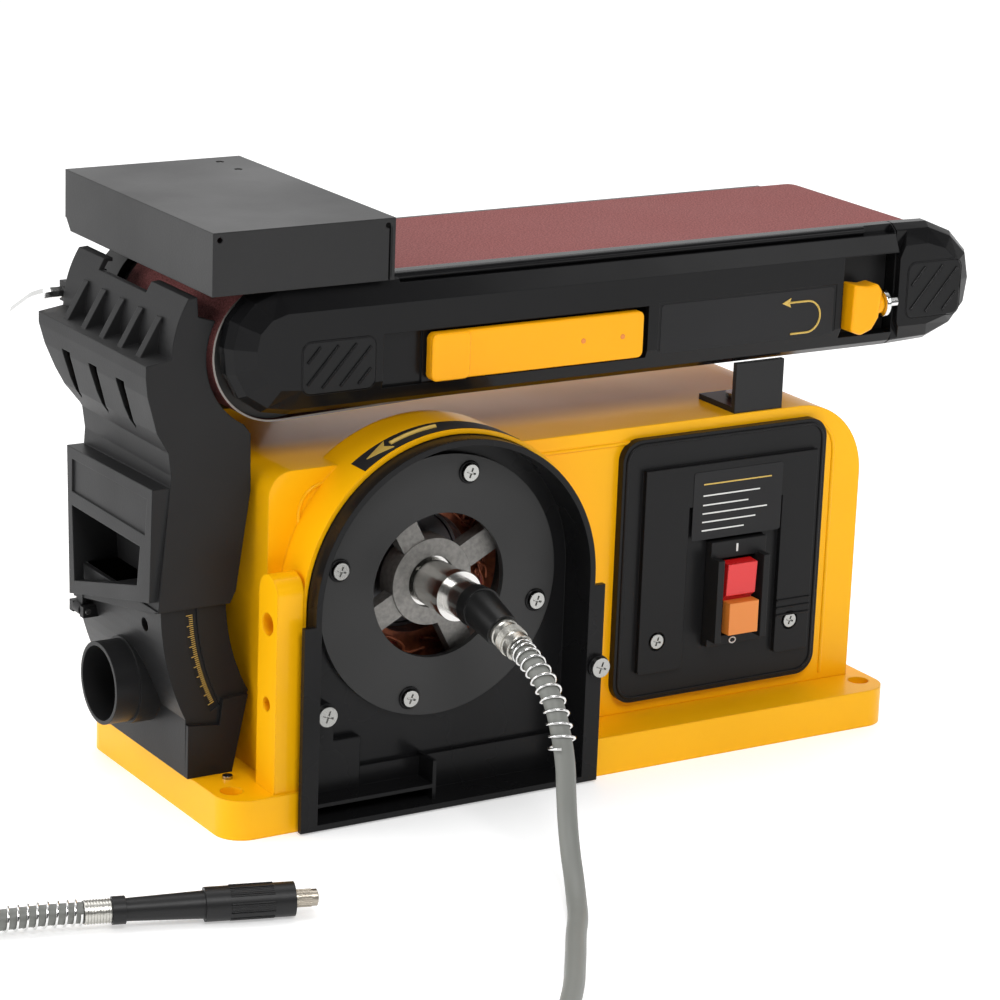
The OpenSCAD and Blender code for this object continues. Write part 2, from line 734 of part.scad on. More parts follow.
module arm_screws() color("silver") for (x = arm_screw_x)
    mirror([0, 1, 0]) pan_screw(x, -(plate_y[1] + plate_t + 3), 211, 3.5, 4.5);

module platen() color("silver") box([-112, belt_y0 + 1, 257], [168, belt_y1 - 1, top_z - 0.3]);

module belt_outline(w) {
    two_circles([idler_x, idler_z], idler_r + w, drum_c, drum_r + w);
}

module sanding_belt() color("#7c3a38") difference() {
    along_y(belt_y0, belt_y1) belt_outline(gap + belt_t - 0.3);
    along_y(belt_y0 - 1, belt_y1 + 1) belt_outline(gap - 0.1);
}

module drum_bearings() color("gray") for (y = [[-44.5, -38.8], [plate_y[1] - 0.2, plate_y[1] + 5.4]])
    yring(13.98, 8.03, y[0], y[1], drum_x, drum_z);

stop_x0 = -197.5;
stop_y0 = -57;
stop_z0 = 261.5;

module work_stop() color("#1f1f21") difference() {
    box([stop_x0, stop_y0, stop_z0], [stop_x0 + stop_l, stop_y0 + stop_w, stop_z0 + stop_h]);
    box([stop_x0 + sheet, stop_y0 + sheet, stop_z0 - 1], [stop_x0 + stop_l - sheet, stop_y0 + stop_w - sheet, stop_z0 + stop_h - sheet]);
    // The right flange ends above the belt
    box([stop_x0 + stop_l - sheet - 1, stop_y0 + sheet, stop_z0 - 1], [stop_x0 + stop_l + 1, stop_y0 + stop_w + 1, stop_z0 + 4]);
    // Gap beside the front flange, and bend relief holes
    box([stop_x0 + stop_l - 3.4, stop_y0 - 1, stop_z0 - 1], [stop_x0 + stop_l - 2.4, stop_y0 + 1.9, stop_z0 + stop_h - 4]);
    for (x = [stop_x0 + 3.5, stop_x0 + stop_l - 4])
        translate([x, stop_y0, stop_z0 + stop_h - 3.5]) rotate([90, 0, 0]) cylinder(r = 1.4, h = 6, center = true);
    // Clipped rear corner of the left flange
    along_x(stop_x0 - 1, stop_x0 + sheet + 0.5) polygon([[96, stop_z0 - 1], [104, stop_z0 - 1], [104, stop_z0 + 6], [102, stop_z0 + 6]]);
    for (y = [72, 92]) translate([-118, y, stop_z0 + stop_h - 3]) cylinder(r = 2.1, h = 4);
}

bracket_x = [-128, -104];

module stop_bracket() color("#2c2c30") difference() {
    union() {
        box([bracket_x[0], plate_y[1] + plate_t, 221], [bracket_x[1], plate_y[1] + plate_t + 3, stop_z0 + stop_h - sheet]);
        box([bracket_x[0], plate_y[1] + plate_t, stop_z0 + stop_h - sheet - 3], [bracket_x[1], 99, stop_z0 + stop_h - sheet]);
    }
    for (x = stop_bolt_x) ycyl(2.6, 60, 70, x, 232);
    for (y = [72, 92]) translate([-118, y, stop_z0 + stop_h - 6]) cylinder(r = 2.1, h = 5);
}

module stop_bolts() color("silver") {
    for (x = stop_bolt_x) {
        ycyl(4, plate_y[1] + plate_t + 3, plate_y[1] + plate_t + 6, x, 232);
        ycyl(2.5, plate_y[1] + 0.1, plate_y[1] + plate_t + 3, x, 232);
    }
    for (y = [72, 92]) {
        translate([-118, y, stop_z0 + stop_h - sheet - 6]) cylinder(r = 3.5, h = 3);
        translate([-118, y, stop_z0 + stop_h - sheet - 3]) cylinder(r = 2, h = 4.6);
    }
}

// ---------------------------------------------------------------- drum, idler and tracking

module drive_drum() color("#2a2a2c") {
    difference() {
        ycyl(drum_r, roller_y0, roller_y1, drum_x, drum_z);
        ycyl(28, roller_y0 - 1, roller_y0 + 34, drum_x, drum_z);
        ycyl(28, roller_y1 - 34, roller_y1 + 1, drum_x, drum_z);
    }
    ycyl(8, -46, 95, drum_x, drum_z);
}

module drum_pulley() color("gray") yring(25, 8, 81, 95, drum_x, drum_z);

module idler_yoke() color("silver") {
    for (y = [plate_y[0] + plate_t + 0.2, roller_y1 + 0.5])
        difference() {
            box([150, y, idler_z - 8], [idler_x + 9, y + 1.6, idler_z + 8]);
            ycyl(5, y - 1, y + 3, idler_x, idler_z);
        }
    box([150, plate_y[0] + plate_t + 0.2, idler_z - 8], [158, plate_y[1] - 0.4, idler_z + 8]);
    ycyl(5, plate_y[0] + plate_t + 0.2, plate_y[1] - 0.5, idler_x, idler_z);
}

module idler_roller() color("#8a8a90") difference() {
    ycyl(idler_r, roller_y0 + 0.4, roller_y1 - 0.4, idler_x, idler_z);
    ycyl(11, roller_y0 - 1, roller_y1 + 1, idler_x, idler_z);
}

module idler_bearings() color("gray") for (y = [roller_y0 + 1, roller_y1 - 8])
    yring(11, 5.03, y, y + 7, idler_x, idler_z);

spring_turns = 7;

module tension_spring() color("silver")
    tube([for (i = [0:spring_turns * 12]) [110.2 + i * 38.4 / (spring_turns * 12), 12 + 7 * cos(30 * i), idler_z + 7 * sin(30 * i)]], 1, 6);

module tension_lever() color("gold") difference() {
    union() {
        box([-80, -57.4, 210], [40, -52.8, 233]);
        box([-80, -59, 210], [-62, -52.8, 233]);
        translate([lever_x, lever_y, 210]) cylinder(r = 5, h = 23);
    }
    translate([lever_x, lever_y, 209]) cylinder(r = 2.5, h = 25);
    for (x = [6, 29]) ycyl(1.6, -58, -56.6, x, 221.5);
}

module tracking_knob() color("gold") {
    xcyl(4, 171, 190, knob_y, knob_z);
    along_y(knob_y - 2.2, knob_y + 2.2) {
        translate([179, knob_z]) square([18, 18], center = true);
        for (s = [-1, 1]) translate([176, knob_z + s * 7]) circle(5.8);
    }
    xcyl(6, 190, 192, knob_y, knob_z);
    xcyl(2.6, 192, cap_x + 4, knob_y, knob_z);
}

// ---------------------------------------------------------------- flexible shaft

hose_start = [motor_x, nose_y - 5 - 38 * cos(nose_tilt), motor_z - 38 * sin(nose_tilt)];

// Route of the hose from the ferrule to the handpiece, at the middle of the hose.
hose_route = [hose_start, [-76, -146, 98.3], [-76, -158, 93], [-76, -170, 84], [-76.5, -179, 71], [-77, -185, 57],
    [-78, -188.5, 44], [-79.5, -193, 32], [-82, -200, 21], [-86, -210, 12.5], [-92, -222, 7.2], [-100, -236, 5.2],
    [-111, -252, 5], [-126, -275, 5], [-149, -308, 5], [-178, -340, 5], [-216, -364, 5], [-258, -376, 5],
    [-302, -374, 5], [-342, -358, 5], [-376, -330, 5], [-402, -294, 5], [-420, -254, 5], [-428, -212, 5],
    [-422, -172, 5], [-404, -144, 5], [-376, -130, 5.5], [-348, -128, 7], [-322, -133, 8], [-300, -139.5, 8.3]];
hose_rings = 78;
hose_line = [for (i = [0:hose_rings - 1]) curve(hose_route, i * (len(hose_route) - 1) / (hose_rings - 1))];

// A piece that lies along the nose's tilted axis, from a to b along it.
module nose_axis() {
    translate([motor_x, nose_y - 5, motor_z]) rotate([90 + nose_tilt, 0, 0]) children();
}

module flex_nose() color("#141414") difference() {
    union() {
        ycyl(10.4, nose_y - 7, nose_y, motor_x, motor_z);
        nose_axis() cylinder(r1 = 9.8, r2 = 8.5, h = 22);
        nose_axis() cylinder(r = 6.6, h = 38);
    }
    ycyl(5.35, nose_y - 6.5, nose_y + 1, motor_x, motor_z);
}

module flex_hose() color("gray") tube(hose_line, hose_d / 2, 10);

// Helix round the hose's route between two places u0 and u1 along it.
function coil_round(u0, u1, turns, r) = [for (i = [0:turns * 10]) let (u = u0 + (u1 - u0) * i / (turns * 10),
        p = curve(hose_route, u), d = unit(curve(hose_route, u + 0.02) - curve(hose_route, u - 0.02)),
        s = unit(cross(d, [0.3, 0.2, 1])), t = cross(s, d)) p + r * (cos(36 * i) * s + sin(36 * i) * t)];

module hose_springs() color("silver") {
    tube(coil_round(0.35, 4.5, 11, hose_d / 2 + 0.25 + hose_wire / 2), hose_wire / 2, 5);
    tube(coil_round(27.4, 28.93, 9, hose_d / 2 + 0.2 + hose_wire / 2), hose_wire / 2, 5);
}

hand_start = [-300, -139.5, 8.3];
hand_end = [-197.5, -170.4, 8.3];

// A piece that lies along the handpiece's axis.
module hand_axis() {
    translate(hand_start) rotate([0, 90, atan2(hand_end.y - hand_start.y, hand_end.x - hand_start.x)]) children();
}

module handpiece() color("#1a1a1c") difference() {
    hand_axis() {
        cylinder(r = 5.2, h = 13);
        translate([0, 0, 12.9]) cylinder(r = 6.4, h = 6);
        translate([0, 0, 18.8]) cylinder(r1 = 5.2, r2 = 6.4, h = 36);
        translate([0, 0, 54.7]) cylinder(r = 7.9, h = 41);
    }
    hand_axis() translate([0, 0, 60]) cylinder(r = 3.05, h = 40);
}

module handpiece_collet() color("silver") hand_axis() {
    translate([0, 0, 61]) cylinder(r = 3, h = 36);
    translate([0, 0, 96.1]) cylinder(r = 3.9, h = 10);
}

// ---------------------------------------------------------------- what is drawn

base();
motor_housing();
disc_guard();
guard_screws();
motor_ring();
ring_screws();
stator_core();
windings();
front_end_bell();
rear_end_bell();
motor_bearings();
motor_shaft();
rotor_core();
cooling_fan();
motor_pulley();
shaft_adaptor();
drive_belt();
drive_cover();
cover_screws();
capacitor();
cable_gland();
switch_plate();
plate_screws();
switch_body();
switch_paddle();
safety_key();
rest_bracket();
bracket_screw();
pivot_stanchion();
stanchion_bolts();
dust_duct();
duct_screw();
dust_hood();
hood_pin();
hex_key();
arm_frame();
pivot_sleeve();
front_cover();
rear_cover();
end_cap();
arm_screws();
platen();
sanding_belt();
drum_bearings();
work_stop();
stop_bracket();
stop_bolts();
drive_drum();
drum_pulley();
idler_yoke();
idler_roller();
idler_bearings();
tension_spring();
tension_lever();
tracking_knob();
flex_nose();
flex_hose();
hose_springs();
handpiece();
handpiece_collet();
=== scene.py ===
import json
import math
import random

import bmesh
import bpy
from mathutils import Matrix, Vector


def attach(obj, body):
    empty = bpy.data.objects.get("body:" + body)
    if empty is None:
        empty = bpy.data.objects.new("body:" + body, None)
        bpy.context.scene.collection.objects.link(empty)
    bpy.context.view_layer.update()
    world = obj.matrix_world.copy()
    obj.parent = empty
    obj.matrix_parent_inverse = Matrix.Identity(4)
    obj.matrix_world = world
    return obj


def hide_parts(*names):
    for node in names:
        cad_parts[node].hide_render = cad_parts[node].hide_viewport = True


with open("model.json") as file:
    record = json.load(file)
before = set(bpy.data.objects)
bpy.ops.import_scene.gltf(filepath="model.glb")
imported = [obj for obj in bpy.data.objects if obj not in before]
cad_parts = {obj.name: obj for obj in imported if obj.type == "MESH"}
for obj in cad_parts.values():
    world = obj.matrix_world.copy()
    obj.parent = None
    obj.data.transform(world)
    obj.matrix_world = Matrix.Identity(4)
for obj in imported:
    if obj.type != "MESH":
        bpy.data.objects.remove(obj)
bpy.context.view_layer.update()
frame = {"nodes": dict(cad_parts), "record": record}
NODES = frame["nodes"]
random.seed(7)

# Places in mm, in the frame's axes
MOTOR_X, MOTOR_Z = -76, 109
KNOB_Y, KNOB_Z = -54, 223
LEVER_PIN = (36, -50.5)
ARM_Z = 231
COVER_FACE = -55
RING_SCREW_RADIUS = 57.5
SHAFT_TILT = 14  # degrees below level
SLOT_RADIUS = 119.0


# ------------------------------------------------------------------ camera
cam_data = bpy.data.cameras.new("camera")
cam = bpy.data.objects.new("camera", cam_data)
bpy.context.scene.collection.objects.link(cam)
RIGHT = Vector((0.8539, -0.5191, 0.0363)).normalized()
UP = Vector((0.1167, 0.2590, 0.9588)).normalized()
FWD = Vector((0.5071, 0.8145, -0.2817)).normalized()
m = cam.matrix_world.to_3x3()
for i in range(3):
    m[i][0], m[i][1], m[i][2] = RIGHT[i], UP[i], -FWD[i]
cam.matrix_world = m.to_4x4()
cam.location = (-0.9349, -1.4971, 0.6436)
cam_data.lens = 130.04
cam_data.sensor_width = 36
cam_data.clip_start = 0.05
bpy.context.scene.camera = cam


# ------------------------------------------------------------------ helpers
def mm(*p):
    return Vector([v / 1000 for v in p])


def link(obj):
    bpy.context.scene.collection.objects.link(obj)
    return obj


def mesh_object(name, verts, faces, smooth=False):
    data = bpy.data.meshes.new(name)
    data.from_pydata([tuple(v) for v in verts], [], faces)
    data.update()
    if smooth:
        data.polygons.foreach_set("use_smooth", [True] * len(data.polygons))
    return link(bpy.data.objects.new(name, data))


def bevel(obj, width, segments=3):
    mod = obj.modifiers.new("bevel", "BEVEL")
    mod.width = width / 1000
    mod.segments = segments
    mod.limit_method = "ANGLE"
    mod.angle_limit = math.radians(35)
    mod.harden_normals = True
    obj.data.polygons.foreach_set("use_smooth", [True] * len(obj.data.polygons))
    return obj


def prism(name, outline, lo, hi, axis="y", width=0.0):
    """A flat outline pulled along an axis. In mm, the outline is (x, z) for y, (y, z) for x, (x, y) for z."""

    def at(a, b, h):
        return {"y": mm(a, h, b), "x": mm(h, a, b), "z": mm(a, b, h)}[axis]

    area = sum(p[0] * q[1] - q[0] * p[1] for p, q in zip(outline, outline[1:] + outline[:1]))
    if (area < 0) != (axis == "y"):
        outline = outline[::-1]
    n = len(outline)
    verts = [at(a, b, lo) for a, b in outline] + [at(a, b, hi) for a, b in outline]
    faces = [list(range(n))[::-1], list(range(n, 2 * n))]
    faces += [[i, (i + 1) % n, n + (i + 1) % n, n + i] for i in range(n)]
    obj = mesh_object(name, verts, faces)
    if width:
        bevel(obj, width)
    return obj


def polar(cx, cz, r, degrees):
    return cx + r * math.cos(math.radians(degrees)), cz + r * math.sin(math.radians(degrees))


def ring_points(cx, cz, r, step):
    """The corners of a circle, one every step degrees."""
    return [polar(cx, cz, r, a) for a in range(0, 360, step)]


def rounded(x0, z0, x1, z1, r, n=6):
    """The outline of a rectangle with rounded corners."""
    corners = ((x1 - r, z1 - r, 0), (x0 + r, z1 - r, 90), (x0 + r, z0 + r, 180), (x1 - r, z0 + r, 270))
    return [polar(cx, cz, r, a + 90 * i / n) for cx, cz, a in corners for i in range(n + 1)]


def ring_strip(name, outline, y, wide, closed=True):
    """A raised line of round section along an outline in X and Z."""
    return curve(name, [(a, y, b) for a, b in outline], wide / 2, closed=closed)


def curve(name, points, radius, closed=False, kind="POLY", resolution=6):
    data = bpy.data.curves.new(name, "CURVE")
    data.dimensions = "3D"
    data.bevel_depth = radius / 1000
    data.bevel_resolution = 4
    data.use_fill_caps = True
    data.resolution_u = resolution
    sp = data.splines.new(kind)
    if kind == "BEZIER":
        sp.bezier_points.add(len(points) - 1)
        for bp, p in zip(sp.bezier_points, points):
            bp.co = mm(*p)
            bp.handle_left_type = bp.handle_right_type = "AUTO"
    else:
        sp.points.add(len(points) - 1)
        for cp, p in zip(sp.points, points):
            cp.co = (*mm(*p), 1)
    sp.use_cyclic_u = closed
    return link(bpy.data.objects.new(name, data))


def disc(name, centre, radius, y0, y1, seg=48, width=0.0):
    pts = [polar(*centre, radius, 360 * i / seg) for i in range(seg)]
    return prism(name, pts, y0, y1, "y", width)


# ------------------------------------------------------------------ materials
def material(name, color, rough=0.5, metal=0.0, coat=0.0, bump=0.0, scale=400.0, speck=0.0, edge=0.0,
             streak=None, detail=3.0, color2=None, spec=0.5):
    mat = bpy.data.materials.new(name)
    mat.use_nodes = True
    nt = mat.node_tree
    b = nt.nodes["Principled BSDF"]
    b.inputs["Metallic"].default_value = metal
    b.inputs["Coat Weight"].default_value = coat
    b.inputs["Coat Roughness"].default_value = 0.08
    b.inputs["Specular IOR Level"].default_value = spec
    coord = nt.nodes.new("ShaderNodeTexCoord")
    mapping = nt.nodes.new("ShaderNodeMapping")
    nt.links.new(coord.outputs["Object"], mapping.inputs["Vector"])
    if streak:
        mapping.inputs["Scale"].default_value = streak
    noise = nt.nodes.new("ShaderNodeTexNoise")
    noise.inputs["Scale"].default_value = scale
    noise.inputs["Detail"].default_value = detail
    nt.links.new(mapping.outputs["Vector"], noise.inputs["Vector"])
    large = nt.nodes.new("ShaderNodeTexNoise")
    large.inputs["Scale"].default_value = 14
    large.inputs["Detail"].default_value = 4
    nt.links.new(coord.outputs["Object"], large.inputs["Vector"])
    # Colour: a slow drift, with fine specks where the finish has them
    mix = nt.nodes.new("ShaderNodeMix")
    mix.data_type = "RGBA"
    other = color2 or [c * 0.94 for c in color]
    mix.inputs["A"].default_value = (*color, 1)
    mix.inputs["B"].default_value = (*other, 1)
    ramp = nt.nodes.new("ShaderNodeMapRange")
    if speck:
        ramp.inputs["From Min"].default_value = 0.5 - 0.12 / speck
        ramp.inputs["From Max"].default_value = 0.5 + 0.12 / speck
        nt.links.new(noise.outputs["Fac"], ramp.inputs["Value"])
    else:
        ramp.inputs["From Min"].default_value = 0.35
        ramp.inputs["From Max"].default_value = 0.75
        nt.links.new(large.outputs["Fac"], ramp.inputs["Value"])
    nt.links.new(ramp.outputs["Result"], mix.inputs["Factor"])
    nt.links.new(mix.outputs["Result"], b.inputs["Base Color"])
    # Roughness varies slowly, as handled surfaces do
    rr = nt.nodes.new("ShaderNodeMapRange")
    rr.inputs["From Min"].default_value = 0.3
    rr.inputs["From Max"].default_value = 0.7
    rr.inputs["To Min"].default_value = max(0.02, rough - 0.05)
    rr.inputs["To Max"].default_value = min(1.0, rough + 0.06)
    nt.links.new(large.outputs["Fac"], rr.inputs["Value"])
    nt.links.new(rr.outputs["Result"], b.inputs["Roughness"])
    normal = None
    if edge:
        round_ = nt.nodes.new("ShaderNodeBevel")
        round_.samples = 4
        round_.inputs["Radius"].default_value = edge / 1000
        normal = round_.outputs["Normal"]
    if bump:
        bn = nt.nodes.new("ShaderNodeBump")
        bn.inputs["Strength"].default_value = min(1.0, bump)
        bn.inputs["Distance"].default_value = 0.0004
        nt.links.new(noise.outputs["Fac"], bn.inputs["Height"])
        if normal:
            nt.links.new(normal, bn.inputs["Normal"])
        normal = bn.outputs["Normal"]
    if normal:
        nt.links.new(normal, b.inputs["Normal"])
    return mat


M = {
    "yellow_paint": material("yellow_paint", (1.0, 0.49, 0.002), 0.36, bump=0.06, scale=900, edge=1.2,
                             coat=0.14, spec=0.14),
    # On the rings round the motor ring's screw heads, black_guard is painted shade
    "black_guard": material("black_guard", (0.0085, 0.0085, 0.009), 0.27, bump=0.05, scale=700, edge=0.5,
                            spec=0.15),
    "black_paint": material("black_paint", (0.012, 0.012, 0.012), 0.38, bump=0.08, scale=700, edge=0.5,
                            spec=0.22),
    "ring_black": material("ring_black", (0.032, 0.032, 0.032), 0.38, bump=0.05, scale=600, edge=0.5,
                           spec=0.22),
    "screw_steel": material("screw_steel", (0.4, 0.4, 0.385), 0.24, 1.0, bump=0.08, scale=900, edge=0.3),
    "lamination_steel": material("lamination_steel", (0.22, 0.22, 0.23), 0.4, 1.0, bump=0.9, scale=60,
                                 streak=(1, 60, 1)),
    "winding": material("winding", (0.42, 0.12, 0.05), 0.38, 0.5, bump=1.0, scale=260, speck=0.5,
                        color2=(0.16, 0.04, 0.02)),
    "cast_aluminium": material("cast_aluminium", (0.33, 0.32, 0.3), 0.55, 0.85, bump=0.6, scale=420,
                               speck=0.3,
                               color2=(0.16, 0.155, 0.15), edge=0.6),
    "bearing_steel": material("bearing_steel", (0.66, 0.65, 0.63), 0.2, 1.0, bump=0.1, scale=120,
                              streak=(1, 30, 1), edge=0.3),
    "fan_plastic": material("fan_plastic", (0.02, 0.02, 0.02), 0.5, bump=0.1),
    "drive_rubber": material("drive_rubber", (0.012, 0.012, 0.012), 0.7, bump=0.3),
    "gland_rubber": material("gland_rubber", (0.015, 0.015, 0.015), 0.6, bump=0.2, edge=0.4),
    "gloss_black": material("gloss_black", (0.0065, 0.0065, 0.007), 0.2, bump=0.03, scale=500, edge=0.6,
                            coat=0.06, spec=0.13),
    "switch_black": material("switch_black", (0.010, 0.010, 0.0105), 0.33, bump=0.05, scale=600, edge=0.6,
                             spec=0.15),
    "black_plastic": material("black_plastic", (0.014, 0.014, 0.0145), 0.36, bump=0.12, scale=900,
                              edge=0.6, spec=0.14),
    "red_plastic": material("red_plastic", (0.74, 0.012, 0.014), 0.28, bump=0.04, edge=0.8, coat=0.2),
    # On the lever's dimples, amber_plastic's darker tone is painted shade
    "amber_plastic": material("amber_plastic", (0.78, 0.24, 0.035), 0.36, bump=0.05, edge=0.6),
    "bracket_black": material("bracket_black", (0.012, 0.012, 0.0125), 0.35, bump=0.1, scale=700,
                              edge=0.6, spec=0.25),
    "hood_black": material("hood_black", (0.0125, 0.0125, 0.013), 0.46, bump=0.14, scale=900, edge=0.9,
                           spec=0.22),
    "chrome": material("chrome", (0.75, 0.75, 0.74), 0.12, 1.0, bump=0.03, scale=300),
    "frame_steel": material("frame_steel", (0.05, 0.05, 0.052), 0.45, 0.3, bump=0.1, edge=0.4),
    "platen_steel": material("platen_steel", (0.4, 0.4, 0.4), 0.35, 1.0, bump=0.2, streak=(1, 20, 1)),
    "abrasive": material("abrasive", (0.30, 0.098, 0.094), 0.86, bump=0.75, scale=1150, speck=0.8,
                         color2=(0.135, 0.04, 0.038), detail=5.0, spec=0.25),
    "stop_black": material("stop_black", (0.0125, 0.0125, 0.013), 0.42, bump=0.16, scale=1100, edge=0.9,
                           spec=0.34),
    "drum_rubber": material("drum_rubber", (0.02, 0.02, 0.02), 0.6, bump=0.2),
    "idler_aluminium": material("idler_aluminium", (0.5, 0.5, 0.5), 0.3, 1.0, bump=0.3, streak=(1, 20, 1)),
    "yellow_plastic": material("yellow_plastic", (1.0, 0.43, 0.002), 0.3, bump=0.04, scale=700, edge=1.0,
                               coat=0.1, spec=0.16),
    "nose_plastic": material("nose_plastic", (0.008, 0.008, 0.008), 0.28, bump=0.06, edge=0.5, spec=0.3),
    "hose_grey": material("hose_grey", (0.19, 0.195, 0.18), 0.5, bump=0.08, scale=500),
    "handpiece_black": material("handpiece_black", (0.012, 0.012, 0.0125), 0.4, bump=0.12, scale=800,
                                edge=0.4, spec=0.3),
    "collet_steel": material("collet_steel", (0.42, 0.38, 0.32), 0.32, 1.0, bump=0.3, scale=500),
    "ferrule": material("ferrule", (0.55, 0.54, 0.5), 0.3, 1.0, bump=0.3, scale=700),
    "gold": material("gold", (0.62, 0.42, 0.09), 0.4, 0.1, bump=0.02),
    "white_print": material("white_print", (0.75, 0.75, 0.73), 0.5, bump=0.02),
    "label": material("label", (0.018, 0.018, 0.019), 0.55, bump=0.05, scale=600, spec=0.2),
    "wire_red": material("wire_red", (0.3, 0.03, 0.02), 0.35, bump=0.1),
}
OVERRIDE = {"motor_ring": "ring_black", "switch_plate": "switch_black"}
for n, o in NODES.items():
    slot_name = next(s["material_slot"] for s in frame["record"]["subparts"] if s["node"] == n)
    use = M[OVERRIDE.get(n, slot_name)]
    o.data.materials.clear()
    o.data.materials.append(use)


# The belt's cut edge shows its grey cloth
nt = M["abrasive"].node_tree
shader = nt.nodes["Principled BSDF"]
geo = nt.nodes.new("ShaderNodeNewGeometry")
sep = nt.nodes.new("ShaderNodeSeparateXYZ")
nt.links.new(geo.outputs["True Normal"], sep.inputs["Vector"])
side_on = nt.nodes.new("ShaderNodeMath")
side_on.operation = "ABSOLUTE"
nt.links.new(sep.outputs["Y"], side_on.inputs[0])
edge_of = nt.nodes.new("ShaderNodeMath")
edge_of.operation = "GREATER_THAN"
edge_of.inputs[1].default_value = 0.9
nt.links.new(side_on.outputs[0], edge_of.inputs[0])
cloth = nt.nodes.new("ShaderNodeMix")
cloth.data_type = "RGBA"
cloth.inputs["B"].default_value = (0.3, 0.28, 0.26, 1)
nt.links.new(edge_of.outputs[0], cloth.inputs["Factor"])
grit = next(l.from_socket for l in nt.links if l.to_socket == shader.inputs["Base Color"])
nt.links.new(grit, cloth.inputs["A"])
nt.links.new(cloth.outputs["Result"], shader.inputs["Base Color"])


def finish_piece(obj, mat, body):
    obj.data.materials.clear()
    obj.data.materials.append(M[mat])
    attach(obj, body)
    return obj


# ------------------------------------------------------------------ flexible shaft
ROUTE = [(-76, -140.3, 99.8), (-76, -146, 98.3), (-76, -158, 93), (-76, -170, 84), (-76.5, -179, 71),
         (-77, -185, 57), (-78, -188.5, 44), (-79.5, -193, 32), (-82, -200, 21), (-86, -210, 12.5),
         (-92, -222, 7.2), (-100, -236, 5.2), (-111, -252, 5), (-126, -275, 5), (-149, -308, 5),
         (-178, -340, 5), (-216, -364, 5), (-258, -376, 5), (-302, -374, 5), (-342, -358, 5),
         (-376, -330, 5), (-402, -294, 5), (-420, -254, 5), (-428, -212, 5), (-422, -172, 5),
         (-404, -144, 5), (-376, -130, 5.5), (-348, -128, 7), (-322, -133, 8), (-300, -139.5, 8.3)]
HOSE_D = 9.5


def on_route(u):
    """Catmull-Rom point on the route, in mm."""
    i = min(int(u), len(ROUTE) - 2)
    t = u - i
    a, b, c, d = (Vector(ROUTE[max(0, min(len(ROUTE) - 1, k))]) for k in (i - 1, i, i + 1, i + 2))
    square, cube = 2 * a - 5 * b + 4 * c - d, 3 * b - a - 3 * c + d
    return 0.5 * (2 * b + (c - a) * t + square * t * t + cube * t * t * t)


hose = curve("hose", ROUTE, HOSE_D / 2, kind="BEZIER", resolution=10)
hose.data.bevel_resolution = 6
finish_piece(hose, "hose_grey", "machine")
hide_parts("flex_hose")


def coil(name, u0, u1, turns, radius, wire, grow=0.0):
    pts = []
    n = turns * 20
    for k in range(n + 1):
        u = u0 + (u1 - u0) * k / n
        p = on_route(u)
        d = (on_route(u + 0.02) - on_route(u - 0.02)).normalized()
        s = d.cross(Vector((0.3, 0.2, 1))).normalized()
        t = s.cross(d)
        a = math.radians(18 * k)
        r = radius + grow * max(0.0, (k - n + 20) / 20)
        pts.append(tuple(p + r * (math.cos(a) * s + math.sin(a) * t)))
    c = curve(name, pts, wire / 2)
    c.data.bevel_resolution = 2
    return c


coil_tool = coil("spring_at_tool", 0.35, 4.5, 11, HOSE_D / 2 + 0.25 + 0.65, 1.3, 1.6)
coil_hand = coil("spring_at_handpiece", 27.4, 28.93, 9, HOSE_D / 2 + 0.2 + 0.65, 1.3)
finish_piece(coil_tool, "chrome", "machine")
finish_piece(coil_hand, "chrome", "machine")
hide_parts("hose_springs")


# ------------------------------------------------------------------ belt arm
def loft(name, outlines, ys):
    """Flat outlines in X and Z, one behind the other along Y, joined by flat facets."""
    n = len(outlines[0])
    verts = [mm(x, y, z) for o, y in zip(outlines, ys) for x, z in o]
    faces = [list(range(n))]
    for k in range(len(ys) - 1):
        lo, hi = k * n, (k + 1) * n
        faces += [[lo + i, hi + i, hi + (i + 1) % n, lo + (i + 1) % n] for i in range(n)]
    faces.append([(len(ys) - 1) * n + i for i in range(n)][::-1])
    obj = mesh_object(name, verts, faces)
    bm_fix(obj)
    return obj


def bm_fix(obj):
    bm = bmesh.new()
    bm.from_mesh(obj.data)
    bmesh.ops.recalc_face_normals(bm, faces=bm.faces)
    bm.to_mesh(obj.data)
    bm.free()


def cut(obj, *cutters):
    """Takes the cutters out of obj, and removes them."""
    for c in cutters:
        bm_fix(c)
        mod = obj.modifiers.new("cut", "BOOLEAN")
        mod.operation = "DIFFERENCE"
        mod.solver = "EXACT"
        mod.object = c
        depsgraph = bpy.context.evaluated_depsgraph_get()
        data = bpy.data.meshes.new_from_object(obj.evaluated_get(depsgraph))
        obj.modifiers.clear()
        obj.data = data
        bpy.data.objects.remove(c)
    return obj


def block(name, x0, x1, y0, y1, z0, z1, width=0.0):
    return prism(name, [(x0, z0), (x1, z0), (x1, z1), (x0, z1)], y0, y1, "y", width)


COVER = [(199.5, 263), (-160, 263), (-174, 257), (-183, 247), (-186, 234),
         (-184.5, 221), (-178, 209), (-166, 201), (-152, 198.5), (199.5, 198.5)]


def step_in(outline, by):
    res = []
    for i, (x, z) in enumerate(outline):
        if x > 199:
            res.append((x, z - by if z > ARM_Z else z + by))
        elif z in (263, 198.5):
            res.append((x + by * 0.25, z - by if z > ARM_Z else z + by))
        else:
            d = Vector((x + 150, z - ARM_Z)).normalized()
            res.append((x - d.x * by, z - d.y * by))
    return res


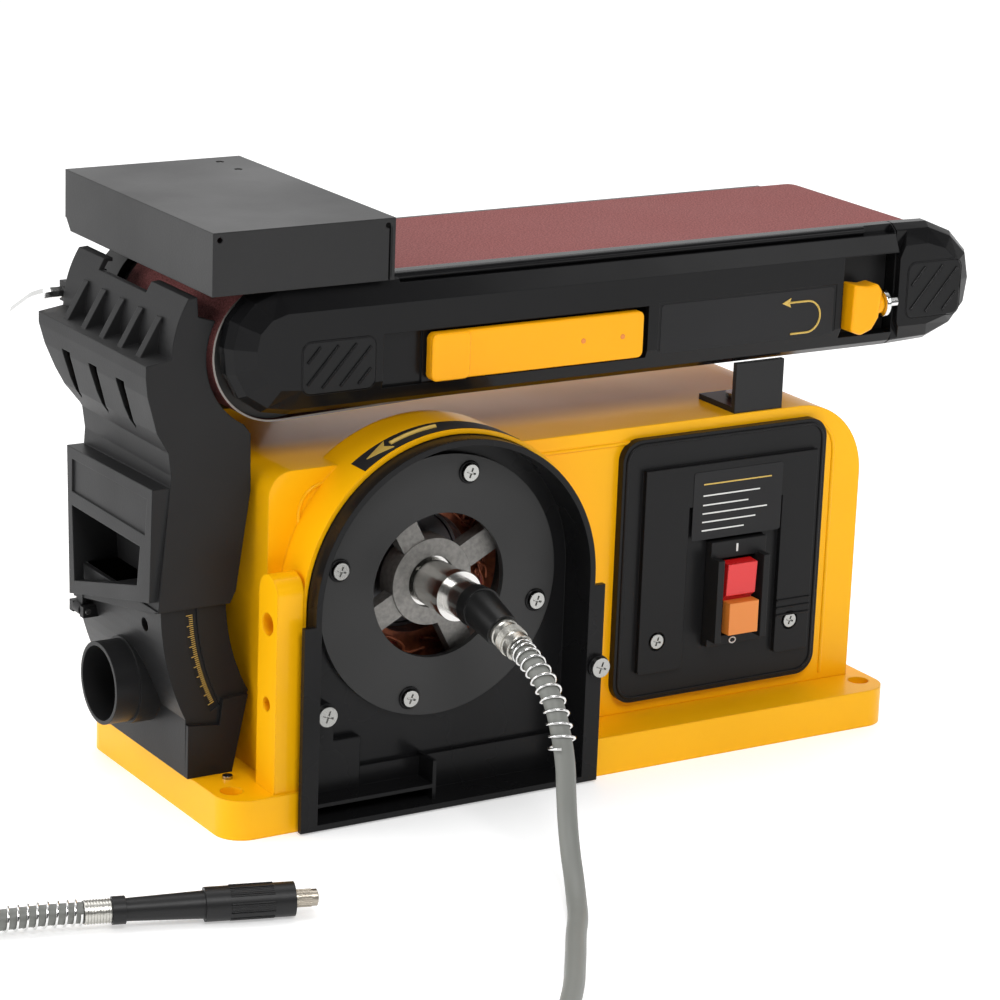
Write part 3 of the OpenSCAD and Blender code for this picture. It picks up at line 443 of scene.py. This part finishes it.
cover = loft("front_cover_shell", [COVER, step_in(COVER, 0.2), step_in(COVER, 3.2), step_in(COVER, 13.5)],
             [-41.5, -46.5, -50.5, -55])
cut(cover,
    block("k", -82.5, 43.5, -60, -51.9, 208.2, 234.8),
    block("k", 26.5, 45.7, -60, -44.6, 208.2, 234.8),
    block("k", -105, -82, -60, -50.8, 208.2, 234.8),
    block("k", 165, 203, -62, -43, 206.5, 249),
    prism("k", [(150, 262), (203, 262), (203, 206), (165, 206), (165, 249)], -62, -57, "y"),
    block("k", 52, 161, -60, -54.6, 208.4, 235.6),
    block("k", -95, 199, -56, -46.6, 258.2, 264))
finish_piece(cover, "gloss_black", "arm")
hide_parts("front_cover")
inner = block("cover_core", 163, 200, -43.6, -42, 200, 260)
finish_piece(inner, "black_plastic", "arm")
rail = curve("belt_rail", [(-97, -46.8, 260.4), (181, -46.8, 260.4)], 2.4)
finish_piece(rail, "gloss_black", "arm")
CAP = [(200.2, 263), (222, 262.6), (238, 256), (249, 245), (252, 231),
       (250, 217), (241, 206), (225, 199.5), (200.2, 198.5)]


def cap_in(by):
    res = []
    for x, z in CAP:
        if x < 201:
            res.append((x, z - by if z > ARM_Z else z + by))
        else:
            d = Vector((x - 210, z - ARM_Z)).normalized()
            res.append((x - d.x * by, z - d.y * by))
    return res


cap = loft("end_cap_shell", [CAP, cap_in(0.2), cap_in(3), cap_in(11)], [-41.5, -46.5, -50.5, -55])
cap_step = [(199, 264), (209, 264), (200.8, 246), (200.8, 212), (207, 197), (199, 197)]
cut(cap, prism("k", cap_step, -60, -51, "y"))
finish_piece(cap, "gloss_black", "arm")
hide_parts("end_cap")


def grip(name, x0, x1, z0, z1, count, body):
    """A shallow grip panel with slanted ridges."""
    edge = rounded(x0, z0, x1, z1, 5)
    finish_piece(ring_strip(name + "_edge", edge, COVER_FACE, 0.5), "gloss_black", body)
    inside = rounded(x0 + 0.6, z0 + 0.6, x1 - 0.6, z1 - 0.6, 4.5)
    panel = prism(name + "_panel", inside, -55.25, -54.6, "y", 0.2)
    finish_piece(panel, "black_plastic", body)
    span = (x1 - x0 + (z1 - z0) * 0.7) / (count + 1)
    for i in range(count):
        c = x0 - (z1 - z0) * 0.35 + span * (i + 1)
        pts = []
        for t in (0.0, 1.0):
            z = z0 + 3 + t * (z1 - z0 - 6)
            x = c + (t - 0.5) * (z1 - z0) * 0.7
            pts.append([x, z])
        lo, hi = pts
        if lo[0] < x0 + 3:
            f = (x0 + 3 - lo[0]) / max(0.1, hi[0] - lo[0])
            lo = [x0 + 3, lo[1] + f * (hi[1] - lo[1])]
        if hi[0] > x1 - 3:
            f = (hi[0] - x1 + 3) / max(0.1, hi[0] - lo[0])
            hi = [x1 - 3, hi[1] - f * (hi[1] - lo[1])]
        if hi[0] - lo[0] > 2:
            r = curve(f"{name}_ridge_{i}", [(lo[0], -55.35, lo[1]), (hi[0], -55.35, hi[1])], 0.75)
            finish_piece(r, "gloss_black", body)


grip("left_grip", -149, -109, 209, 235, 5, "arm")
grip("right_grip", 206, 241, 213, 243, 4, "arm")

# Direction arrow of the belt, on the flat panel
label = prism("belt_label", rounded(53.5, 209.6, 159.5, 234.4, 2), -54.75, -54.5, "y")
finish_piece(label, "label", "arm")
turn = [(131, 228.5)] + [polar(143, 220.3, 8.2, a) for a in range(90, -91, -12)] + [(133, 212.1)]
finish_piece(curve("belt_arrow_line", [(x, -54.8, z) for x, z in turn], 0.55), "gold", "arm")
turn_head = [(127, 228.5), (132.5, 226), (131.6, 228.5), (132.5, 231)]
finish_piece(prism("belt_arrow_head", turn_head, COVER_FACE, -54.7, "y"), "gold", "arm")

# The tracking knob: wing, neck, washer and stub
wing_outline = [(168.5, 235.5), (167.5, 211), (174, 208.5), (181, 211), (185, 217), (186.5, 231),
                (183.5, 235), (177, 234)]
wing = prism("tracking_wing", wing_outline, -60.5, -48.5, "y", 1.4)
finish_piece(wing, "yellow_plastic", "knob")
neck = prism("tracking_neck", ring_points(KNOB_Y, KNOB_Z, 5.2, 15), 184, 189.5, "x", 0.8)
finish_piece(neck, "yellow_plastic", "knob")
washer = prism("tracking_washer", ring_points(KNOB_Y, KNOB_Z, 7.3, 10), 189.5, 192.2, "x", 0.5)
finish_piece(washer, "chrome", "knob")
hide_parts("tracking_knob")
stub = prism("tracking_stub", ring_points(KNOB_Y, KNOB_Z, 2.6, 20), 192, 199.9, "x")
finish_piece(stub, "chrome", "knob")

# The lever: shell, pad, hub and two dimples; the dimples are darker amber discs, painted shade in the
# recesses
lever = prism("tension_lever_shell", rounded(-80.5, 209.7, 41.5, 233.3, 3.2), -57.6, -52.8, "y", 0.9)
pad = prism("tension_lever_pad", rounded(-80.5, 209.7, -59, 233.3, 3.2), -59.2, -57, "y", 0.9)
hub = prism("lever_hub", ring_points(*LEVER_PIN, 4.8, 15), 210.5, 232.5, "z", 0.4)
for o in (lever, pad, hub):
    finish_piece(o, "yellow_plastic", "lever")
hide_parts("tension_lever")
# Darker amber discs on the lever's face: painted shade standing for the dimples' recesses
for x in (6, 29):
    finish_piece(disc(f"dimple_shade_{x}", (x, 221.5), 1.3, -57.75, -57.3, 20), "amber_plastic", "lever")


# ------------------------------------------------------------------ housing
edge_line = [(-147, 24), (-147, 150)] + [polar(-133, 150, 14, a) for a in range(180, 89, -15)]
edge_line += [(150, 164)] + [polar(150, 146, 18, a) for a in range(90, -1, -15)] + [(168, 24)]
finish_piece(curve("housing_rim", [(x, -51, z) for x, z in edge_line], 1.0), "yellow_paint", "machine")


def band(name, radius, a0, a1, y0, y1, thick=0.25, n=24):
    """A thin sticker bent round the motor's axis."""
    verts, faces = [], []
    for i in range(n + 1):
        a = math.radians(a0 + (a1 - a0) * i / n)
        for r in (radius, radius + thick):
            for y in (y0, y1):
                verts.append(mm(MOTOR_X + r * math.cos(a), y, MOTOR_Z + r * math.sin(a)))
    for i in range(n):
        k = 4 * i
        faces += [[k + 2, k + 3, k + 7, k + 6], [k, k + 4, k + 5, k + 1]]
        faces += [[k, k + 2, k + 6, k + 4], [k + 1, k + 5, k + 7, k + 3]]
    faces += [[0, 1, 3, 2], [4 * n, 4 * n + 2, 4 * n + 3, 4 * n + 1]]
    obj = mesh_object(name, verts, faces)
    bm_fix(obj)
    return obj


finish_piece(band("boss_sticker", 80.55, 62, 126, -72.5, -59), "label", "machine")


def on_boss(angle, y, r=80.95):
    x, z = polar(MOTOR_X, MOTOR_Z, r, angle)
    return x, y, z


shaft_line = [on_boss(a, -65.7) for a in range(112, 92, -2)]
finish_piece(curve("turn_arrow_shaft", shaft_line, 1.25), "gold", "machine")
head = [on_boss(122, -65.7), on_boss(112.5, -70.8), on_boss(114.5, -65.7), on_boss(112.5, -60.6)]
arrow = mesh_object("turn_arrow_head", [mm(*p) for p in head] + [mm(*p) + mm(0, 0, 0.5) for p in head],
                    [[0, 3, 2, 1], [4, 5, 6, 7], [0, 1, 5, 4], [1, 2, 6, 5], [2, 3, 7, 6], [3, 0, 4, 7]])
bm_fix(arrow)
finish_piece(arrow, "gold", "machine")

# Stepped panel in the lower part of the guard
step_outline = [(-148, 4.5), (-148, 47), (-133, 47), (-133, 38.5), (-118, 38.5), (-118, 22), (-118, 4.5)]
step = prism("guard_step", step_outline, -66, -61.2, "y", 0.8)
finish_piece(step, "black_guard", "machine")

# Switch plate: raised rim, a label with plain lines for text, the on and off marks, side ribs
plate_rim = [(x, -55.6, z) for x, z in rounded(37, 29.5, 157.5, 163.5, 9)]
finish_piece(curve("plate_rim", plate_rim, 0.8, closed=True), "switch_black", "machine")
finish_piece(prism("rating_label", rounded(76, 110, 131, 146, 1.5), -58.75, -58.4, "y"), "label", "machine")
for i, z in enumerate((139, 133, 128, 123.5, 119, 114.5)):
    x1 = 124 - (i * 7) % 19
    line = block(f"label_line_{i}", 82, x1, -58.85, -58.7, z, z + 0.7)
    finish_piece(line, "gold" if i == 0 else "white_print", "machine")
finish_piece(block("on_mark", 103.3, 104.4, -60.25, -59.9, 101.8, 106), "white_print", "machine")
off_points = [(104 + 1.9 * math.cos(math.radians(a)), -60.1, 53.9 + 1.5 * math.sin(math.radians(a)))
              for a in range(0, 360, 20)]
finish_piece(curve("off_mark", off_points, 0.35, closed=True), "white_print", "machine")
for i, z in enumerate((48, 52, 56)):
    rib = block(f"plate_rib_{i}", 132, 153, -59.3, -58.3, z + 14, z + 15, 0.3)
    finish_piece(rib, "switch_black", "machine")

# Angle marks in the duct's groove
MARK_START, MARK_STEP = 183.5, 0.506  # degrees
LONG_MARK, SHORT_MARK, HALF_MARK = 3.36, 1.92, 0.14
for i in range(46):
    angle = MARK_START + i * MARK_STEP
    length = LONG_MARK if i % 5 == 0 else SHORT_MARK
    (px, pz), (qx, qz) = [polar(MOTOR_X, MOTOR_Z, r, angle) for r in (SLOT_RADIUS, SLOT_RADIUS + length)]
    tx, tz = polar(0, 0, HALF_MARK, angle + 90)
    tick = [(px - tx, pz - tz), (qx - tx, qz - tz), (qx + tx, qz + tz), (px + tx, pz + tz)]
    finish_piece(prism(f"angle_mark_{i}", tick, -35.7, -35.3, "y"), "gold", "machine")

# Darker rings round the ring's screw heads: painted shade where the heads sit on the ring
for i, ang in enumerate((75, 165, 255, 345)):
    centre = polar(MOTOR_X, MOTOR_Z, RING_SCREW_RADIUS, ang)
    # Each ring is darker than the ring plate: painted shade round the screw head
    heads_shade = [(x, -64.7, z) for x, z in ring_points(*centre, 5.1, 15)]
    finish_piece(curve(f"screw_head_shade_{i}", heads_shade, 0.75, closed=True), "black_guard", "machine")

# Motor: wires seen through the window
for k in range(26):
    a0 = random.uniform(0, 360)
    pts = []
    for j in range(7):
        a = math.radians(a0 + j * random.uniform(5, 9))
        r = 37 + 6 * math.sin(j * 1.1 + k) * 0.5
        y = -41.5 - 1.2 * (k % 3) + random.uniform(-0.5, 0.5)
        pts.append((MOTOR_X + r * math.cos(a), y, MOTOR_Z + r * math.sin(a)))
    wire = curve(f"wire_{k}", pts, 0.75, kind="BEZIER", resolution=3)
    finish_piece(wire, "wire_red" if k % 3 == 0 else "winding", "machine")

# Flexible shaft: ferrule and its rings, then the ribs of the handpiece and the collet
SHAFT_AXIS = Vector((0, -math.cos(math.radians(SHAFT_TILT)), -math.sin(math.radians(SHAFT_TILT))))
SHAFT_ORIGIN = Vector((-76, -103.4, 109))


def turned(name, start, axis, profile, seg=40):
    """A turned piece: profile is a list of (distance along the axis, radius) in mm."""
    axis = Vector(axis).normalized()
    s = axis.cross(Vector((0, 0, 1))).normalized()
    t = s.cross(axis)
    verts, faces = [], []
    for d, r in profile:
        for k in range(seg):
            a = 2 * math.pi * k / seg
            verts.append((Vector(start) + axis * d + s * (r * math.cos(a)) + t * (r * math.sin(a))) / 1000)
    for i in range(len(profile) - 1):
        lo, hi = i * seg, (i + 1) * seg
        faces += [[lo + k, lo + (k + 1) % seg, hi + (k + 1) % seg, hi + k] for k in range(seg)]
    faces += [list(range(seg))[::-1], [(len(profile) - 1) * seg + k for k in range(seg)]]
    obj = mesh_object(name, verts, faces, smooth=True)
    bm_fix(obj)
    mod = obj.modifiers.new("edges", "EDGE_SPLIT")
    mod.split_angle = math.radians(35)
    return obj


ferrule_profile = [(21.8, 6.9), (22.4, 7.3), (24, 7.3), (24.6, 6.8), (27, 6.8), (27.5, 7.2), (33, 7.2),
                   (33.4, 6.9), (37.6, 6.9), (38.1, 6.4)]
finish_piece(turned("shaft_ferrule", SHAFT_ORIGIN, SHAFT_AXIS, ferrule_profile), "ferrule", "machine")
bead = [(d, 7.35 + 0.22 * (i % 2)) for i, d in enumerate([27.6 + 0.45 * j for j in range(12)])]
finish_piece(turned("ferrule_rings", SHAFT_ORIGIN, SHAFT_AXIS, bead), "ferrule", "machine")
HANDPIECE_START = Vector((-300, -139.5, 8.3))
HANDPIECE_AXIS = Vector((102.5, -30.9, 0)).normalized()
RING_PITCH = 1.35
rings = [(0, 4.9)]
for j in range(9):
    d = RING_PITCH * j
    rings += [(0.6 + d, 5.6), (1.2 + d, 5.6), (1.3 + d, 5.25), (1.8 + d, 5.25)]
rings.append((13, 5))
finish_piece(turned("handpiece_ferrule", HANDPIECE_START, HANDPIECE_AXIS, rings), "ferrule", "machine")
up = Vector((0, 0, 1))
side = HANDPIECE_AXIS.cross(up).normalized()
for k, ang in enumerate((-60, 0, 60, 120, 180, 240)):
    for j in range(6):
        d = side * math.cos(math.radians(ang)) + up * math.sin(math.radians(ang))
        tang = HANDPIECE_AXIS.cross(d)
        base = HANDPIECE_START + HANDPIECE_AXIS * 66 + d * 7.75 + tang * (j - 2.5) * 0.95
        if base.z < 0.9:
            continue
        rib = curve(f"grip_rib_{k}_{j}", [tuple(base), tuple(base + HANDPIECE_AXIS * 20)], 0.32)
        finish_piece(rib, "handpiece_black", "machine")
for j in range(24):
    a = 2 * math.pi * j / 24
    d = side * math.cos(a) + up * math.sin(a)
    base = HANDPIECE_START + HANDPIECE_AXIS * 97 + d * 3.85
    rib = curve(f"collet_rib_{j}", [tuple(base), tuple(base + HANDPIECE_AXIS * 6.5)], 0.3)
    finish_piece(rib, "collet_steel", "collet")
tip = turned("collet_tip", HANDPIECE_START, HANDPIECE_AXIS, [(106, 3.2), (106.6, 2.9), (107, 1.6)])
finish_piece(tip, "collet_steel", "collet")

# Work stop: the fold's open corner
finish_piece(curve("stop_fold", [(-103.2, -57.1, 263), (-103.2, -57.1, 287)], 0.3), "label", "arm")


# ------------------------------------------------------------------ floor and light
floor = mesh_object("floor", [(-6, -6, 0), (6, -6, 0), (6, 6, 0), (-6, 6, 0)], [[0, 1, 2, 3]])
floor_mat = material("floor_mat", (0.86, 0.86, 0.86), 0.7, bump=0.0)
floor.data.materials.append(floor_mat)
floor_shader = floor_mat.node_tree.nodes["Principled BSDF"]
floor_shader.inputs["Emission Color"].default_value = (1, 1, 1, 1)
floor_shader.inputs["Emission Strength"].default_value = 0.4

world = bpy.data.worlds.new("world")
bpy.context.scene.world = world
world.use_nodes = True
# A bright sweep above and behind, and a darker room in front
wt = world.node_tree
wt.nodes["Background"].inputs["Color"].default_value = (1, 1, 1, 1)
way = wt.nodes.new("ShaderNodeTexCoord")
split = wt.nodes.new("ShaderNodeSeparateXYZ")
wt.links.new(way.outputs["Generated"], split.inputs["Vector"])
level = wt.nodes.new("ShaderNodeMapRange")
level.inputs["From Min"].default_value = -0.45
level.inputs["From Max"].default_value = 0.15
level.inputs["To Min"].default_value = 0.08
level.inputs["To Max"].default_value = 1.04
wt.links.new(split.outputs["Y"], level.inputs["Value"])
wt.links.new(level.outputs["Result"], wt.nodes["Background"].inputs["Strength"])


def area_light(name, location, target, size, power, size_y=None):
    data = bpy.data.lights.new(name, "AREA")
    data.energy = power
    data.size = size
    if size_y:
        data.shape = "RECTANGLE"
        data.size_y = size_y
    obj = link(bpy.data.objects.new(name, data))
    obj.location = location
    obj.rotation_euler = (Vector(target) - Vector(location)).to_track_quat("-Z", "Y").to_euler()
    return obj


area_light("key", (-0.5, -1.5, 1.5), (0, 0, 0.1), 0.7, 19)
area_light("side", (-1.7, 0.3, 0.8), (-0.1, 0, 0.15), 0.8, 9)
area_light("top", (0.3, 0.6, 1.9), (0, 0, 0.1), 1.4, 12)
area_light("fill", (1.4, -1.4, 0.9), (0.1, 0, 0.15), 0.8, 5)

bpy.context.scene.view_settings.view_transform = "Standard"
